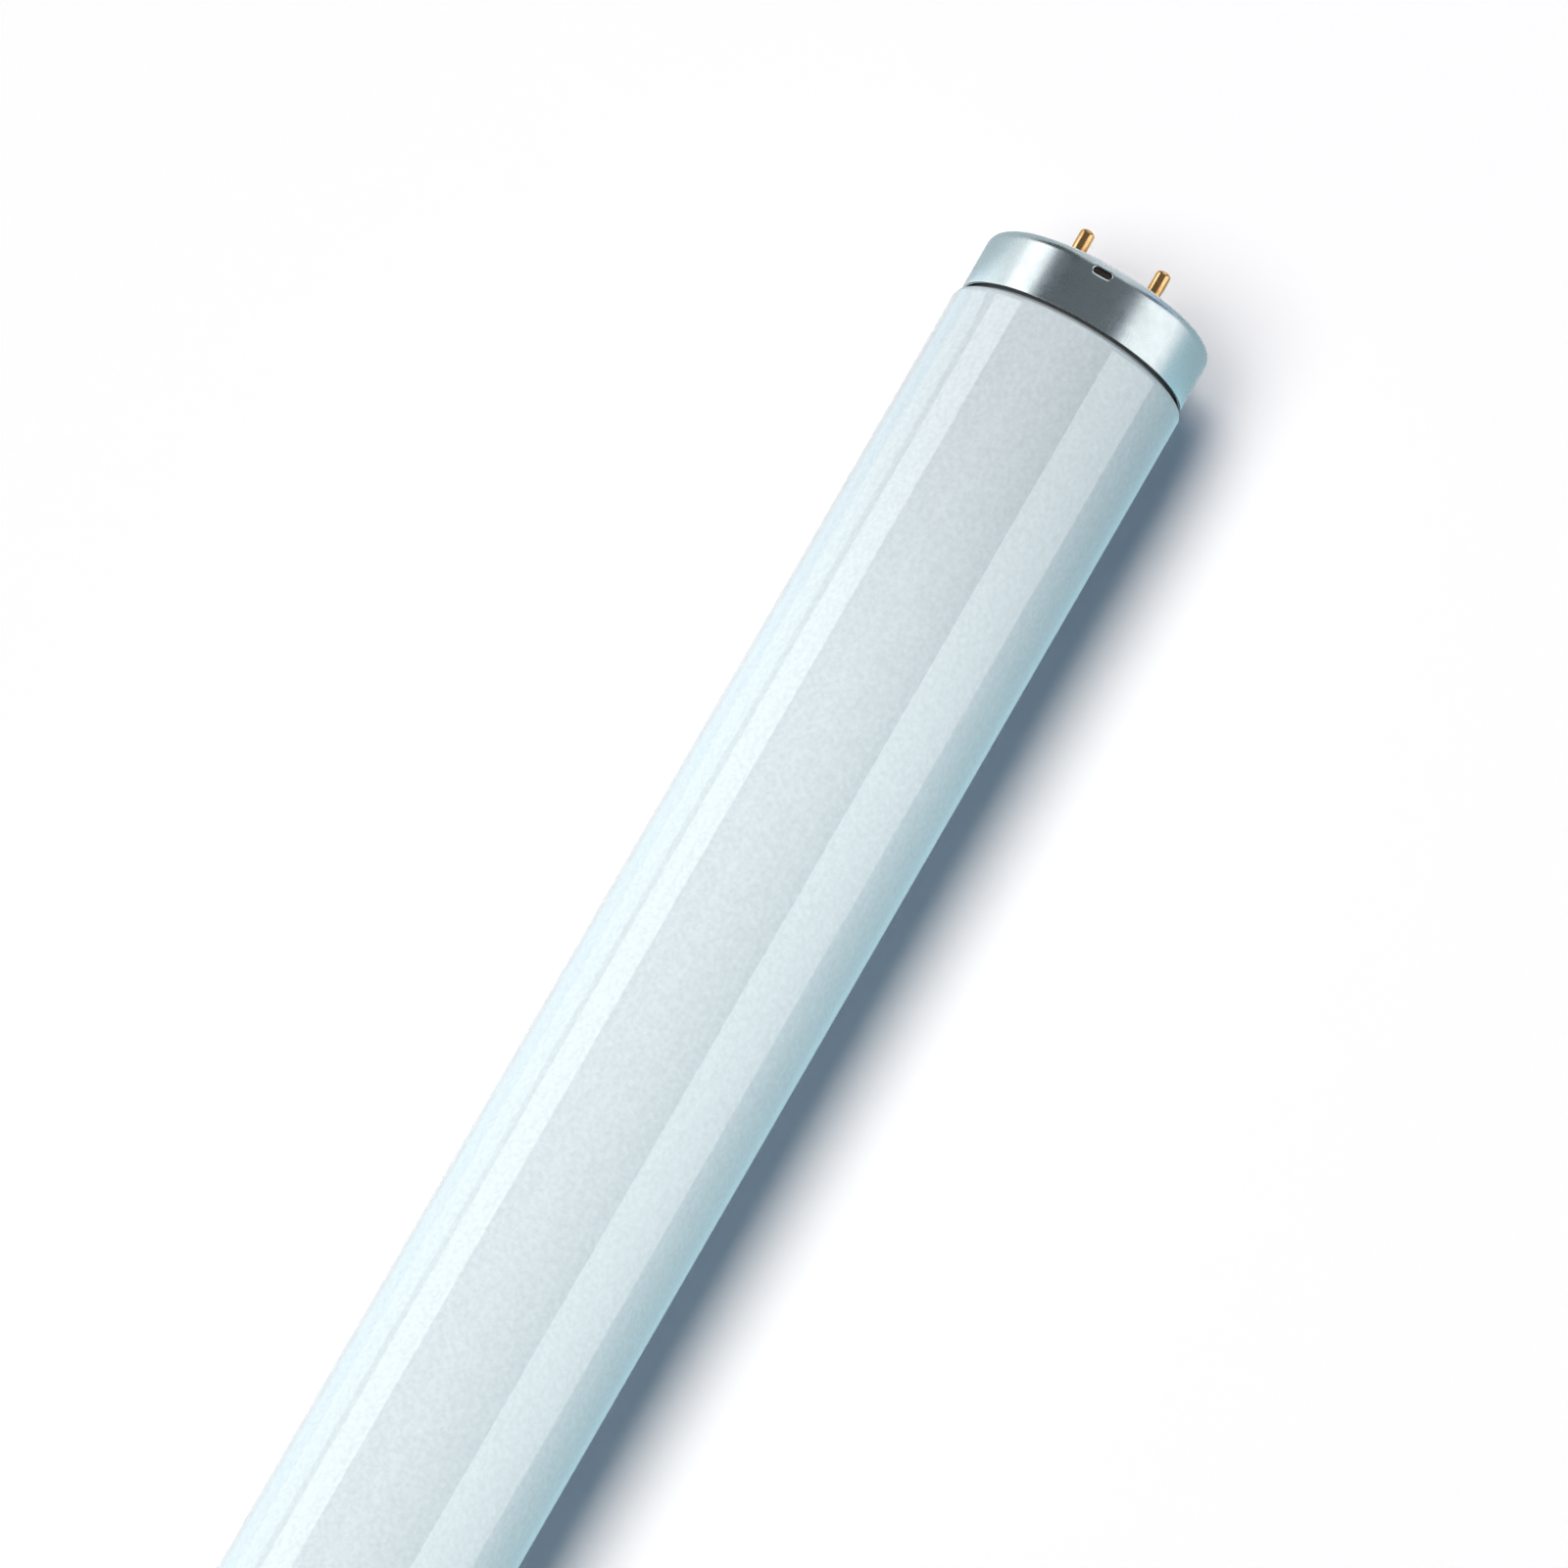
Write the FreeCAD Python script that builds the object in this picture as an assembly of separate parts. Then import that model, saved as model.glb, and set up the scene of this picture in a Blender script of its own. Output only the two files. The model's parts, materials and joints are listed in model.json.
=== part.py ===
import FreeCAD, Part
import math
import os

from FreeCAD import Vector

# A straight fluorescent tube with a two-pin cap cemented on each end.
# Millimetres. The tube lies along X with its middle at the origin and Z up. The two pins of a cap
# stand side by side along Y, and the right end is the one at +X.
# Profiles are drawn in depth, counted inwards from the outer face of the right cap, and radius.

# Lamp
FACE_TO_FACE = 588.8  # between the outer faces of the two caps
GLASS_DIAMETER = 38.0  # outside of the tube

# Cap shell, drawn from aluminium sheet
CAP_STEP = 0.65  # the glass stands this much proud of the shell all round
CAP_LENGTH = 9.6
CAP_WALL = 0.45
CAP_CORNER_RADIUS = 1.8  # outside of the rolled corner
RIM_WIDTH = 2.8  # flat, between the corner and the end opening

# Lock hole at the corner of the shell, on top, and the insulator's lug in it
LOCK_HOLE_WIDTH = 2.9
LOCK_HOLE_LENGTH = 0.9
LOCK_HOLE_DEPTH = 1.95  # from the face of the cap to the middle of the hole
LOCK_CLEARANCE = 0.1
LOCK_LUG_RECESS = 0.4  # below the outside of the shell

# Insulator disc, held behind the rim
INSULATOR_LAND = 0.9  # straight edge behind the bevelled front corner
INSULATOR_CLEARANCE = 0.1  # between its edge and the shell

# Contact pins, hollow and riveted through the insulator
PIN_SPACING = 12.7
PIN_DIAMETER = 2.35
PIN_LENGTH = 7.6  # from the face of the cap to the tip
PIN_SHANK_DIAMETER = 1.9  # through the insulator
PIN_BORE = 1.3
PIN_TIP_RADIUS = 0.7
PIN_TIP_WALL = 1.2  # solid length at the tip, closed round the lead wire
COLLAR_DIAMETER = 4.0
COLLAR_THICKNESS = 0.4
RIVET_DIAMETER = 3.8
RIVET_THICKNESS = 0.4

# Neck of the glass inside the cap, and its shoulder
CEMENT_THICKNESS = 0.5  # between the neck and the shell
CEMENT_SETBACK = 0.6  # from the open edge of the shell
CEMENT_RELIEF = 0.4  # from the rounded end of the neck
NECK_CLEARANCE = 0.5  # between the insulator and the end of the neck
NECK_END_RADIUS = 0.9
SHOULDER_ANGLE = 75.0  # steepest slope, in degrees from the axis
SHOULDER_FOOT_RADIUS = 0.7
SHOULDER_CROWN_RADIUS = 1.2

# Stem, turned back into the neck, with the tip of the sealed exhaust tube
FLARE_LENGTH = 10.0
STEM_LENGTH = 5.0  # straight, behind the flare
STEM_DIAMETER = 10.6
EXHAUST_DIAMETER = 4.6
EXHAUST_LENGTH = 9.0

# Lead wires, from the stem to the tips of the pins
WIRE_DIAMETER = 0.5
WIRE_SPACING = 7.5  # where they leave the stem
WIRE_BEND_RADIUS = 2.5
WIRE_SET_LENGTH = 6.0  # along the axis, over which they spread to the pins

# Worked out from the above
face = FACE_TO_FACE / 2
glass_radius = GLASS_DIAMETER / 2
cap_radius = glass_radius - CAP_STEP
cap_inside = cap_radius - CAP_WALL
corner_centre = cap_radius - CAP_CORNER_RADIUS
corner_inside = CAP_CORNER_RADIUS - CAP_WALL
opening_radius = corner_centre - RIM_WIDTH
insulator_front = CAP_WALL
insulator_back = CAP_CORNER_RADIUS + INSULATOR_LAND
neck_radius = cap_inside - CEMENT_THICKNESS
neck_end = insulator_back + NECK_CLEARANCE
stem_floor = neck_end + NECK_END_RADIUS + FLARE_LENGTH + STEM_LENGTH


def point(depth, radius):
    """Profile point, by its depth behind the right cap's face and its distance from the axis."""
    return Vector(face - depth, 0, radius)


def arc(centre, radius, start, end):
    """Profile arc about a (depth, radius) centre. Angles in degrees, 0 towards greater depth."""
    turns = [math.radians(a) for a in (start, (start + end) / 2, end)]
    places = [
        point(centre[0] + radius * math.cos(t), centre[1] + radius * math.sin(t)) for t in turns
    ]
    return Part.Arc(*places).toShape()


def path(*places):
    """Straight profile edges through (depth, radius) places."""
    return Part.makePolygon([point(*p) for p in places]).Edges


def turned(edges):
    """Solid of revolution about the tube's axis from closed profile edges."""
    outline = Part.Wire(Part.__sortEdges__(edges))
    return Part.Face(outline).revolve(Vector(), Vector(1, 0, 0), 360)


def bulb_end_profile():
    """One end of the glass, from its axis out over the neck to the start of the full tube.

    The neck ends in a rounded lip, from which the flare runs back as an arc tangent to the stem.
    The shoulder is an S of two arcs with a straight slope between them. Returns the edges, the
    depth of the exhaust tip and the depth at which the full tube starts.
    """
    tip_radius = EXHAUST_DIAMETER / 2
    stem_radius = STEM_DIAMETER / 2
    tip_base = stem_floor - EXHAUST_LENGTH + tip_radius
    stem_start = stem_floor - STEM_LENGTH
    lip_centre = (neck_end + NECK_END_RADIUS, neck_radius - NECK_END_RADIUS)
    mouth_radius = neck_radius - 2 * NECK_END_RADIUS
    spread = mouth_radius - stem_radius
    flare_radius = (FLARE_LENGTH**2 + spread**2) / (2 * spread)
    flare_turn = math.degrees(math.asin(FLARE_LENGTH / flare_radius))
    if spread > flare_radius:
        flare_turn = 180 - flare_turn
    slope = math.radians(SHOULDER_ANGLE)
    bend = 1 - math.cos(slope)
    slope_start = (
        CAP_LENGTH + SHOULDER_FOOT_RADIUS * math.sin(slope),
        neck_radius + SHOULDER_FOOT_RADIUS * bend,
    )
    slope_end_radius = glass_radius - SHOULDER_CROWN_RADIUS * bend
    slope_run = (slope_end_radius - slope_start[1]) / math.tan(slope)
    slope_end = (slope_start[0] + slope_run, slope_end_radius)
    tube_start = slope_end[0] + SHOULDER_CROWN_RADIUS * math.sin(slope)
    edges = [arc((tip_base, 0), tip_radius, 180, 90)]
    edges += path((tip_base, tip_radius), (stem_floor, tip_radius), (stem_floor, stem_radius))
    edges += path((stem_floor, stem_radius), (stem_start, stem_radius))
    edges.append(arc((stem_start, stem_radius + flare_radius), flare_radius, 270, 270 - flare_turn))
    edges.append(arc(lip_centre, NECK_END_RADIUS, 270, 90))
    edges += path((lip_centre[0], neck_radius), (CAP_LENGTH, neck_radius))
    foot_centre = (CAP_LENGTH, neck_radius + SHOULDER_FOOT_RADIUS)
    edges.append(arc(foot_centre, SHOULDER_FOOT_RADIUS, 270, 270 + SHOULDER_ANGLE))
    edges += path(slope_start, slope_end)
    crown_centre = (tube_start, glass_radius - SHOULDER_CROWN_RADIUS)
    edges.append(arc(crown_centre, SHOULDER_CROWN_RADIUS, 90 + SHOULDER_ANGLE, 90))
    return edges, tip_base - tip_radius, tube_start


def glass_bulb():
    """The sealed glass, one solid from stem to stem."""
    right, tip, tube_start = bulb_end_profile()
    left = [edge.mirror(Vector(), Vector(1, 0, 0)) for edge in right]
    far_tip = FACE_TO_FACE - tip
    tube = path((tube_start, glass_radius), (FACE_TO_FACE - tube_start, glass_radius))
    axis = path((tip, 0), (far_tip, 0))
    return turned(right + tube + left + axis)


def lock_stud(width, length, inner, outer):
    """Upright stud with round ends, on top of the cap, between two distances from the axis."""
    half = (width - length) / 2
    end_radius = length / 2
    corners = [Vector(end_radius, -half, 0), Vector(end_radius, half, 0)]
    corners += [Vector(-end_radius, half, 0), Vector(-end_radius, -half, 0)]
    sides = [Part.LineSegment(corners[0], corners[1]), Part.LineSegment(corners[2], corners[3])]
    ends = [
        Part.Arc(corners[1], Vector(0, half + end_radius, 0), corners[2]),
        Part.Arc(corners[3], Vector(0, -half - end_radius, 0), corners[0]),
    ]
    outline = Part.Wire([sides[0].toShape(), ends[0].toShape(), sides[1].toShape(), ends[1].toShape()])
    stud = Part.Face(outline).extrude(Vector(0, 0, outer - inner))
    stud.translate(Vector(face - LOCK_HOLE_DEPTH, 0, inner))
    return stud


def cap_shell():
    """Right cap: a cup of even wall with a rolled corner, a flat open rim and the lock hole."""
    corner = (CAP_CORNER_RADIUS, corner_centre)
    edges = [arc(corner, CAP_CORNER_RADIUS, 90, 180)]
    edges += path(
        (0, corner_centre),
        (0, opening_radius),
        (CAP_WALL, opening_radius),
        (CAP_WALL, corner_centre),
    )
    edges.append(arc(corner, corner_inside, 180, 90))
    edges += path(
        (CAP_CORNER_RADIUS, cap_inside),
        (CAP_LENGTH, cap_inside),
        (CAP_LENGTH, cap_radius),
        (CAP_CORNER_RADIUS, cap_radius),
    )
    hole = lock_stud(LOCK_HOLE_WIDTH, LOCK_HOLE_LENGTH, corner_centre, glass_radius)
    return turned(edges).cut(hole)


def pin_places():
    """Y places of the pins by name, front being the side at -Y."""
    return {"front": -PIN_SPACING / 2, "rear": PIN_SPACING / 2}


def insulator():
    """Right insulator: a disc bevelled to clear the shell's corner, with pin holes and the lug."""
    edge_radius = cap_inside - INSULATOR_CLEARANCE
    edges = path(
        (insulator_front, 0),
        (insulator_front, edge_radius - corner_inside),
        (insulator_front + corner_inside, edge_radius),
        (insulator_back, edge_radius),
        (insulator_back, 0),
        (insulator_front, 0),
    )
    lug = lock_stud(
        LOCK_HOLE_WIDTH - 2 * LOCK_CLEARANCE,
        LOCK_HOLE_LENGTH - 2 * LOCK_CLEARANCE,
        corner_centre - CAP_WALL,
        cap_radius - LOCK_LUG_RECESS,
    )
    disc = turned(edges).fuse(lug).removeSplitter()
    for y in pin_places().values():
        start = Vector(face - insulator_back, y, 0)
        length = insulator_back - insulator_front
        disc = disc.cut(Part.makeCylinder(PIN_SHANK_DIAMETER / 2, length, start, Vector(1, 0, 0)))
    return disc


def contact_pin(y):
    """Right pin at one Y place: rounded tip, collar on the disc, rivet head behind it, hollow."""
    radius = PIN_DIAMETER / 2
    shank = PIN_SHANK_DIAMETER / 2
    bore = PIN_BORE / 2
    wire = WIRE_DIAMETER / 2
    collar_front = insulator_front - COLLAR_THICKNESS
    rivet_back = insulator_back + RIVET_THICKNESS
    tip_centre = (PIN_TIP_RADIUS - PIN_LENGTH, radius - PIN_TIP_RADIUS)
    bore_end = PIN_TIP_WALL - PIN_LENGTH
    edges = path((-PIN_LENGTH, wire), (-PIN_LENGTH, tip_centre[1]))
    edges.append(arc(tip_centre, PIN_TIP_RADIUS, 180, 90))
    edges += path(
        (tip_centre[0], radius),
        (collar_front, radius),
        (collar_front, COLLAR_DIAMETER / 2),
        (insulator_front, COLLAR_DIAMETER / 2),
        (insulator_front, shank),
        (insulator_back, shank),
        (insulator_back, RIVET_DIAMETER / 2),
        (rivet_back, RIVET_DIAMETER / 2),
        (rivet_back, bore),
        (bore_end, bore),
        (bore_end, wire),
        (-PIN_LENGTH, wire),
    )
    pin = turned(edges)
    pin.translate(Vector(0, y, 0))
    return pin


def lead_wire(y):
    """Right lead wire: straight out of the stem, spread to the pin's axis, straight to its tip."""
    side = math.copysign(1, y)
    set_start = Vector(face - stem_floor + STEM_LENGTH, side * WIRE_SPACING / 2, 0)
    set_end = Vector(set_start.x + WIRE_SET_LENGTH, y, 0)
    start = Vector(face - stem_floor, set_start.y, 0)
    tip = Vector(face + PIN_LENGTH, y, 0)
    along = Vector(1, 0, 0)
    slant = (set_end - set_start).normalize()
    half_turn = along.getAngle(slant) / 2
    reach = WIRE_BEND_RADIUS * math.tan(half_turn)
    inset = WIRE_BEND_RADIUS * (1 / math.cos(half_turn) - 1)
    inward = (slant - along).normalize()
    bends = []
    for corner, before, after, towards in (
        (set_start, along, slant, inward),
        (set_end, slant, along, inward * -1),
    ):
        bends.append((corner - before * reach, corner + towards * inset, corner + after * reach))
    route = [
        Part.LineSegment(start, bends[0][0]),
        Part.Arc(*bends[0]),
        Part.LineSegment(bends[0][2], bends[1][0]),
        Part.Arc(*bends[1]),
        Part.LineSegment(bends[1][2], tip),
    ]
    spine = Part.Wire([piece.toShape() for piece in route])
    section = Part.Wire(Part.makeCircle(WIRE_DIAMETER / 2, start, along))
    return spine.makePipeShell([section], True, False)


def cement():
    """Right cement ring, between the neck of the glass and the shell."""
    front = neck_end + NECK_END_RADIUS + CEMENT_RELIEF
    back = CAP_LENGTH - CEMENT_SETBACK
    corners = [(front, neck_radius), (front, cap_inside), (back, cap_inside), (back, neck_radius)]
    return turned(path(*corners, corners[0]))


def other_end(shape):
    """The same piece on the left cap: turned half round about Z, so that its top stays on top."""
    copy = shape.copy()
    copy.rotate(Vector(), Vector(0, 0, 1), 180)
    return copy


def lamp_pieces():
    """Every piece of the lamp by name."""
    pieces = {"glass_bulb": glass_bulb()}
    for name, shape in (
        ("cap_shell", cap_shell()),
        ("insulator", insulator()),
        ("cement_ring", cement()),
    ):
        pieces["right_" + name] = shape
        pieces["left_" + name] = other_end(shape)
    for side, y in pin_places().items():
        for name, make in (("pin", contact_pin), ("lead_wire", lead_wire)):
            pieces[f"right_{side}_{name}"] = make(y)
            pieces[f"left_{side}_{name}"] = other_end(make(-y))
    return pieces


def main():
    os.makedirs("parts", exist_ok=True)
    for name, shape in lamp_pieces().items():
        shape.exportStep(f"parts/{name}.step")


main()
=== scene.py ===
import json
import math

import bmesh
import bpy
import numpy as np
from bpy.props import FloatProperty, FloatVectorProperty, IntProperty, PointerProperty
from mathutils import Matrix, Vector

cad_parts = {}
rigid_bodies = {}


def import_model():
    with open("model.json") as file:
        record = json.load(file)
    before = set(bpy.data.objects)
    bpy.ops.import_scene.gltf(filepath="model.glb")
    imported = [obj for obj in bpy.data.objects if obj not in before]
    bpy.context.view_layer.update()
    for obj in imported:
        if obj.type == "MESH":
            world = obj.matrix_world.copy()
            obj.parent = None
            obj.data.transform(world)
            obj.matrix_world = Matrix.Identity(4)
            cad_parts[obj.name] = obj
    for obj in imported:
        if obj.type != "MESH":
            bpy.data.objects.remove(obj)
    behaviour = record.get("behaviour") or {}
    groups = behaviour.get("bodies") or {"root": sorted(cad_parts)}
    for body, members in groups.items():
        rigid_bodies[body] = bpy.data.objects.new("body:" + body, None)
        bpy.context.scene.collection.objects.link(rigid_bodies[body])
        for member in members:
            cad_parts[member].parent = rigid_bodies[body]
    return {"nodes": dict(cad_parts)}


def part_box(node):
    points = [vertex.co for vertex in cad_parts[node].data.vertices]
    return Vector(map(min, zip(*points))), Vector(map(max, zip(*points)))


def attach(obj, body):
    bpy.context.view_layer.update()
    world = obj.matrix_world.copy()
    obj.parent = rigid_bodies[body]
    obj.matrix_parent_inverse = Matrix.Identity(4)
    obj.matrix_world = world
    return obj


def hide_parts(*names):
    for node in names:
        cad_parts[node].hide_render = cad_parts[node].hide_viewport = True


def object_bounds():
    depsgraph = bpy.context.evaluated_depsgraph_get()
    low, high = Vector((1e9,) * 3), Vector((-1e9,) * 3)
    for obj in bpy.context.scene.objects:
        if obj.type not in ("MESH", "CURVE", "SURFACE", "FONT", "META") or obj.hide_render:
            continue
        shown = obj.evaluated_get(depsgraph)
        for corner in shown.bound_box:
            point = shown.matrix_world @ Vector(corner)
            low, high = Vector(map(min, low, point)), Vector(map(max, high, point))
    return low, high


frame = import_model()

bl_info = {
    "name": "Fluorescent tube",
    "version": (1, 0, 0),
    "blender": (4, 5, 0),
    "location": "View3D > Sidebar > Fluorescent tube",
    "description": "Builds the glass, end caps, contact pins and studio of a straight fluorescent tube",
    "category": "Object",
}

MM = 0.001
BODY = "root"
CAD_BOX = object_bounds()
MERGE_DISTANCE = 2e-7
SHARP_ANGLE = math.radians(38)

GLASS_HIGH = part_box("glass_bulb")[1]
CAP_LOW, CAP_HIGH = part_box("right_cap_shell")
CEMENT_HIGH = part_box("right_cement_ring")[1]
INSULATOR_LOW, INSULATOR_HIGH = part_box("right_insulator")
PIN_LOW, PIN_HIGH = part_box("right_rear_pin")
WIRE_LOW, WIRE_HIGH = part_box("right_rear_lead_wire")

FACE = CAP_HIGH.x
GLASS_RADIUS = GLASS_HIGH.z
CAP_RADIUS = CAP_HIGH.z
CAP_INSIDE = CEMENT_HIGH.z
CAP_LENGTH = CAP_HIGH.x - CAP_LOW.x
CAP_WALL = FACE - INSULATOR_HIGH.x
PIN_Y = (PIN_LOW.y + PIN_HIGH.y) / 2


def length(name, description, default):
    """A length setting in metres."""
    return FloatProperty(
        name=name, description=description, default=default, min=0, precision=5, unit="LENGTH"
    )


def angle(name, description, degrees):
    """An angle setting, given in degrees."""
    return FloatProperty(
        name=name, description=description, default=math.radians(degrees), subtype="ANGLE"
    )


def colour(name, description, default):
    """A colour setting in linear light."""
    return FloatVectorProperty(
        name=name, description=description, default=default, size=3, min=0, max=1, subtype="COLOR"
    )


class TubeGlassSettings(bpy.types.PropertyGroup):
    """Sizes and finish of the coated glass."""

    radius: length("Radius", "Outside radius of the tube", GLASS_RADIUS)
    neck_end: length("Neck end", "Rounded end of the neck, from the middle", GLASS_HIGH.x)
    cement: length("Cement", "Thickness of the cement between neck and cap", 0.5 * MM)
    lip: length("Lip", "Radius of the rounded end of the neck", 0.9 * MM)
    foot: length("Shoulder foot", "Radius of the hollow at the shoulder's foot", 0.7 * MM)
    crown: length("Shoulder crown", "Radius of the round at the shoulder's top", 1.2 * MM)
    slope: angle("Shoulder slope", "Steepest slope of the shoulder", 75)
    flare: length("Flare", "Length of the flare inside the neck", 10 * MM)
    stem: length("Stem", "Straight length behind the flare", 5 * MM)
    stem_radius: length("Stem radius", "Inside radius of the stem", 5.3 * MM)
    exhaust_radius: length("Exhaust radius", "Radius of the sealed exhaust tube", 2.3 * MM)
    exhaust: length("Exhaust", "Length of the sealed exhaust tube", 9 * MM)
    segments: IntProperty(name="Segments", description="Faces round the tube", default=224, min=16)
    coat: colour("Coat", "Powder coat seen through the glass", (0.588, 0.635, 0.653))
    end_coat: colour("End coat", "Greyer coat close to the caps", (0.478, 0.513, 0.533))
    end_fade: length("End fade", "Distance over which the end tone fades", 80 * MM)
    # Dark neck colour: partly bare glass where the coat ends, partly painted shade in the gap under the
    # cap's edge.
    bare_glass_and_gap_shade: colour("Bare glass", "Neck, where the coat has ended", (0.065, 0.07, 0.074))
    coat_foot: length("Coat foot", "Where the coat starts, in from the cap's outer radius", 0.9 * MM)
    coat_top: length("Coat top", "Where the coat is full, in from the cap's outer radius", 0.75 * MM)


class EndCapSettings(bpy.types.PropertyGroup):
    """Sizes and finish of the aluminium cap shells."""

    corner: length("Corner", "Outside radius of the rolled corner", 1.8 * MM)
    opening: length("Opening", "Radius of the opening in the end", 13.75 * MM)
    edge: length("Edge", "Rounding of the cut edges of the sheet", 0.06 * MM)
    hole_width: length("Hole width", "Lock hole, across the tube", 2.9 * MM)
    hole_length: length("Hole length", "Lock hole, along the tube", 0.9 * MM)
    hole_depth: length("Hole depth", "Middle of the lock hole, from the end", 1.95 * MM)
    hole_roll: length("Hole roll", "Width of the lock hole's pressed edge", 0.6 * MM)
    hole_sink: length("Hole sink", "Depth of the lock hole's pressed edge", 0.4 * MM)
    segments: IntProperty(name="Segments", description="Faces round the cap", default=240, min=60)
    metal: colour("Metal", "Drawn aluminium", (0.64, 0.675, 0.69))


class ContactPinSettings(bpy.types.PropertyGroup):
    """Sizes and finish of the contact pins."""

    radius: length("Radius", "Outside radius of a pin", 1.175 * MM)
    tip: length("Tip", "Rounding of the tip", 0.7 * MM)
    shank: length("Shank", "Radius through the insulator", 0.95 * MM)
    bore: length("Bore", "Inside radius", 0.65 * MM)
    tip_wall: length("Tip wall", "Solid length at the tip", 1.2 * MM)
    collar: length("Collar", "Thickness of the collar and of the rivet head", 0.4 * MM)
    rivet: length("Rivet", "Radius of the rivet head behind the insulator", 1.9 * MM)
    edge: length("Edge", "Rounding of the collar's edge", 0.1 * MM)
    segments: IntProperty(name="Segments", description="Faces round a pin", default=72, min=12)
    brass: colour("Brass", "Bright brass", (0.92, 0.52, 0.24))
    tarnish: colour("Tarnish", "Darker film on the brass", (0.56, 0.28, 0.09))


class InnerPieceSettings(bpy.types.PropertyGroup):
    """Finish of the insulators, cement and lead wires."""

    phenolic: colour("Phenolic", "Brown laminate of the insulators", (0.014, 0.010, 0.008))
    fibre: colour("Fibre", "Paler fibres in the laminate", (0.035, 0.023, 0.016))
    cement: colour("Cement", "Basing cement", (0.17, 0.135, 0.10))
    wire: colour("Wire", "Plated lead wire", (0.60, 0.57, 0.53))


class StudioSettings(bpy.types.PropertyGroup):
    """Camera, floor and light."""

    lean: angle("Lean", "Turn of the tube from upright in the picture", 30)
    tilt: angle("Tilt", "Angle of the tube to the picture plane", 14.5)
    facing: angle("Facing", "Turn of the view about the tube, from straight above", 5)
    frame_width: length("Frame width", "Width of the view at the tube", 228.6 * MM)
    aim_back: length("Aim back", "Aim point, from the cap's open edge along the tube", 78.38 * MM)
    aim_aside: length("Aim aside", "Aim point, left of the axis in the picture", 4.58 * MM)
    lens: FloatProperty(name="Lens", description="Focal length in millimetres", default=1000)
    floor: colour("Floor", "Plain pale floor, where it is seen", (1.0, 1.0, 1.0))
    floor_bounce: colour("Floor bounce", "Floor, in the light that it sends back", (0.40, 0.42, 0.44))
    key: FloatProperty(name="Key", description="Key light on the floor, 1 is white", default=0.945)
    key_tint: colour("Key tint", "Colour of the key light", (1.0, 0.945, 0.895))
    key_spread: angle("Key spread", "Width of the key light across the sky", 28)
    key_aside: angle("Key aside", "Lean of the key light to the tube's left", 18)
    key_back: angle("Key back", "Lean of the key light towards the tube's near end", 1)
    key_reach: angle("Key reach", "Angle along the tube from one key lamp to the next", 20)
    sky: colour("Sky", "Dim light from above", (0.025, 0.06, 0.12))
    horizon: colour("Horizon", "Paler light low down", (0.185, 0.355, 0.55))
    sky_start: angle("Sky start", "Elevation at which the dim sky starts", 38)


# Sockets of a colour mix node, by number because their names repeat for each kind of data.
MIX_FIRST = 6
MIX_SECOND = 7
MIX_RESULT = 2
# Range that most values of a noise lie in.
NOISE_SPAN = (0.3, 0.7)


class Shader:
    """A new node material, with short ways to add and join its nodes."""

    def __init__(self, name):
        self.material = bpy.data.materials.new(name)
        self.material.use_nodes = True
        self.tree = self.material.node_tree
        self.surface = self.tree.nodes["Principled BSDF"]
        self.place = self.add("ShaderNodeTexCoord").outputs["Object"]

    def add(self, kind, **settings):
        """A new node with some of its own settings."""
        node = self.tree.nodes.new(kind)
        for name, value in settings.items():
            setattr(node, name, value)
        return node

    def join(self, output, socket):
        """Links an output to an input socket."""
        self.tree.links.new(output, socket)

    def set(self, **values):
        """Constant values on the surface's own sockets, with spaces written as underscores."""
        for name, value in values.items():
            self.surface.inputs[name.replace("_", " ")].default_value = value

    def noise(self, scale, stretch=(1, 1, 1), detail=3, rough=0.55):
        """Noise on object coordinates, from about 0 to 1, squeezed along each axis by stretch."""
        mapping = self.add("ShaderNodeMapping")
        mapping.inputs["Scale"].default_value = stretch
        self.join(self.place, mapping.inputs["Vector"])
        node = self.add("ShaderNodeTexNoise")
        node.inputs["Scale"].default_value = scale
        node.inputs["Detail"].default_value = detail
        node.inputs["Roughness"].default_value = rough
        self.join(mapping.outputs["Vector"], node.inputs["Vector"])
        return node.outputs["Fac"]

    def span(self, value, source, target, smooth=False):
        """A value moved from one range to another, and held at its ends."""
        node = self.add("ShaderNodeMapRange")
        node.interpolation_type = "SMOOTHSTEP" if smooth else "LINEAR"
        self.join(value, node.inputs["Value"])
        for name, number in zip(("From Min", "From Max", "To Min", "To Max"), (*source, *target)):
            node.inputs[name].default_value = number
        return node.outputs["Result"]

    def math(self, operation, first, second=None):
        """An operation on one output, on two, or on an output and a number."""
        node = self.add("ShaderNodeMath", operation=operation)
        self.join(first, node.inputs[0])
        if isinstance(second, (int, float)):
            node.inputs[1].default_value = second
        elif second is not None:
            self.join(second, node.inputs[1])
        return node.outputs["Value"]

    def mix(self, factor, first, second, blend="MIX"):
        """Two colours, or a colour and a grey, mixed by a factor. A colour is an output or a triple."""
        node = self.add("ShaderNodeMix", data_type="RGBA", blend_type=blend)
        if isinstance(factor, (int, float)):
            node.inputs["Factor"].default_value = factor
        else:
            self.join(factor, node.inputs["Factor"])
        for number, value in ((MIX_FIRST, first), (MIX_SECOND, second)):
            socket = node.inputs[number]
            if hasattr(value, "is_linked"):
                self.join(value, socket)
            else:
                socket.default_value = (*value, 1)
        return node.outputs[MIX_RESULT]

    def bump(self, height, distance):
        """Relief of a given depth in metres, joined to the surface."""
        node = self.add("ShaderNodeBump")
        node.inputs["Strength"].default_value = 1
        node.inputs["Distance"].default_value = distance
        self.join(height, node.inputs["Height"])
        self.join(node.outputs["Normal"], self.surface.inputs["Normal"])


def darker(tone, share):
    """A colour brought down to a share of itself."""
    return tuple(share * part for part in tone)


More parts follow.
